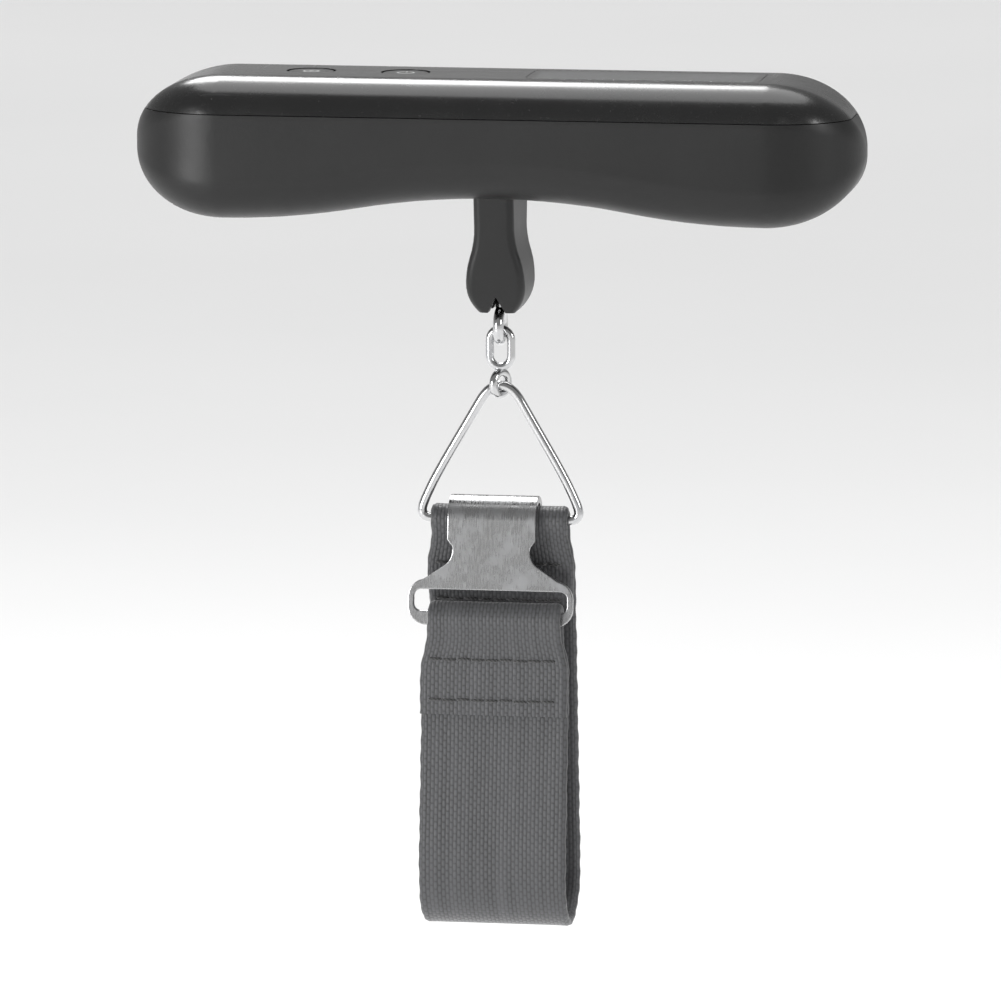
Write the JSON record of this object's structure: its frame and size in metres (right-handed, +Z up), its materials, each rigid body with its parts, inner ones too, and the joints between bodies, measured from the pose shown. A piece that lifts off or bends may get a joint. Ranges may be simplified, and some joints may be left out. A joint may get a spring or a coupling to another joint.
{
  "type": "digital luggage scale",
  "caption": "Hand-held luggage scale: black grip bar with display and keys, short stem, wire link, triangular ring and a webbing strap with a steel hook clip.",
  "frame": {"origin": "centre of the grip bar, where the hand closes round it", "axes": "+X along the grip bar towards the display end, +Z up along the load line, -Y towards the viewer"},
  "size_m": [0.123, 0.03, 0.1442],
  "materials": {
    "gloss_black": null,
    "satin_black": null,
    "key_black": null,
    "clear_window": null,
    "display_glass": null,
    "white_plastic": null,
    "elastomer": null,
    "board_green": null,
    "epoxy": null,
    "ceramic": null,
    "switch_plastic": null,
    "cell_steel": null,
    "contact_metal": null,
    "cell_plate": null,
    "gauge_foil": null,
    "wire_red": null,
    "bright_steel": null,
    "screw_steel": null,
    "webbing": null,
    "thread": null
  },
  "bodies": {
    "scale_body": {"top_cover": "gloss_black", "lower_housing": "satin_black", "display_lens": "clear_window", "lcd_glass": "display_glass", "lcd_backlight": "white_plastic", "lcd_frame": "white_plastic", "zebra_connector": "elastomer", "circuit_board": "board_green", "processor_blob": "epoxy", "amplifier_chip": "epoxy", "capacitors": "ceramic", "power_switch": "switch_plastic", "unit_switch": "switch_plastic", "coin_cell": "cell_steel", "battery_holder": "switch_plastic", "battery_contact_positive": "contact_metal", "battery_contact_negative": "contact_metal", "load_cell": "cell_plate", "strain_gauges": "gauge_foil", "load_cell_wires": "wire_red", "load_cell_pin": "bright_steel", "hanger_yoke": "bright_steel", "hanger_pin": "bright_steel", "housing_screws": "screw_steel"},
    "power_key": {"power_button": "key_black", "power_switch_plunger": "switch_plastic"},
    "unit_key": {"unit_button": "key_black", "unit_switch_plunger": "switch_plastic"},
    "door": {"battery_door": "satin_black"},
    "eye_bolt": {"load_eye": "bright_steel"},
    "link": {"twisted_link": "bright_steel"},
    "ring": {"triangle_ring": "bright_steel"},
    "strap": {"strap_rear_run": "webbing", "rear_stitching": "thread"},
    "clip": {"strap_front_run": "webbing", "front_stitching": "thread", "strap_clip": "bright_steel"}
  },
  "joints": [
    {"name": "power_key_press", "type": "slide", "parent": "scale_body", "child": "power_key", "axis": [0, 0, -1], "range_m": [0, 0.0005], "stiffness_N_per_m": 100, "springref_m": -0.001},
    {"name": "unit_key_press", "type": "slide", "parent": "scale_body", "child": "unit_key", "axis": [0, 0, -1], "range_m": [0, 0.0005], "stiffness_N_per_m": 100, "springref_m": -0.001},
    {"name": "battery_door_swing", "type": "hinge", "parent": "scale_body", "child": "door", "pos_m": [-0.0336, 0, -0.0115], "axis": [0, -1, 0], "range_deg": [0, 75]},
    {"name": "eye_swivel", "type": "hinge", "parent": "scale_body", "child": "eye_bolt", "pos_m": [0, 0, -0.025], "axis": [0, 0, 1], "continuous": true},
    {"name": "link_swing", "type": "hinge", "parent": "eye_bolt", "child": "link", "pos_m": [0, 0, -0.03095], "axis": [1, 0, 0], "range_deg": [-45, 45]},
    {"name": "ring_swing", "type": "hinge", "parent": "link", "child": "ring", "pos_m": [0, 0, -0.04205], "axis": [0, 1, 0], "range_deg": [-35, 35]},
    {"name": "strap_swing", "type": "hinge", "parent": "ring", "child": "strap", "pos_m": [0, 0, -0.0632], "axis": [1, 0, 0], "range_deg": [-60, 60]},
    {"name": "clip_lift", "type": "slide", "parent": "strap", "child": "clip", "axis": [0, 0, 1], "range_m": [0, 0.005]}
  ]
}
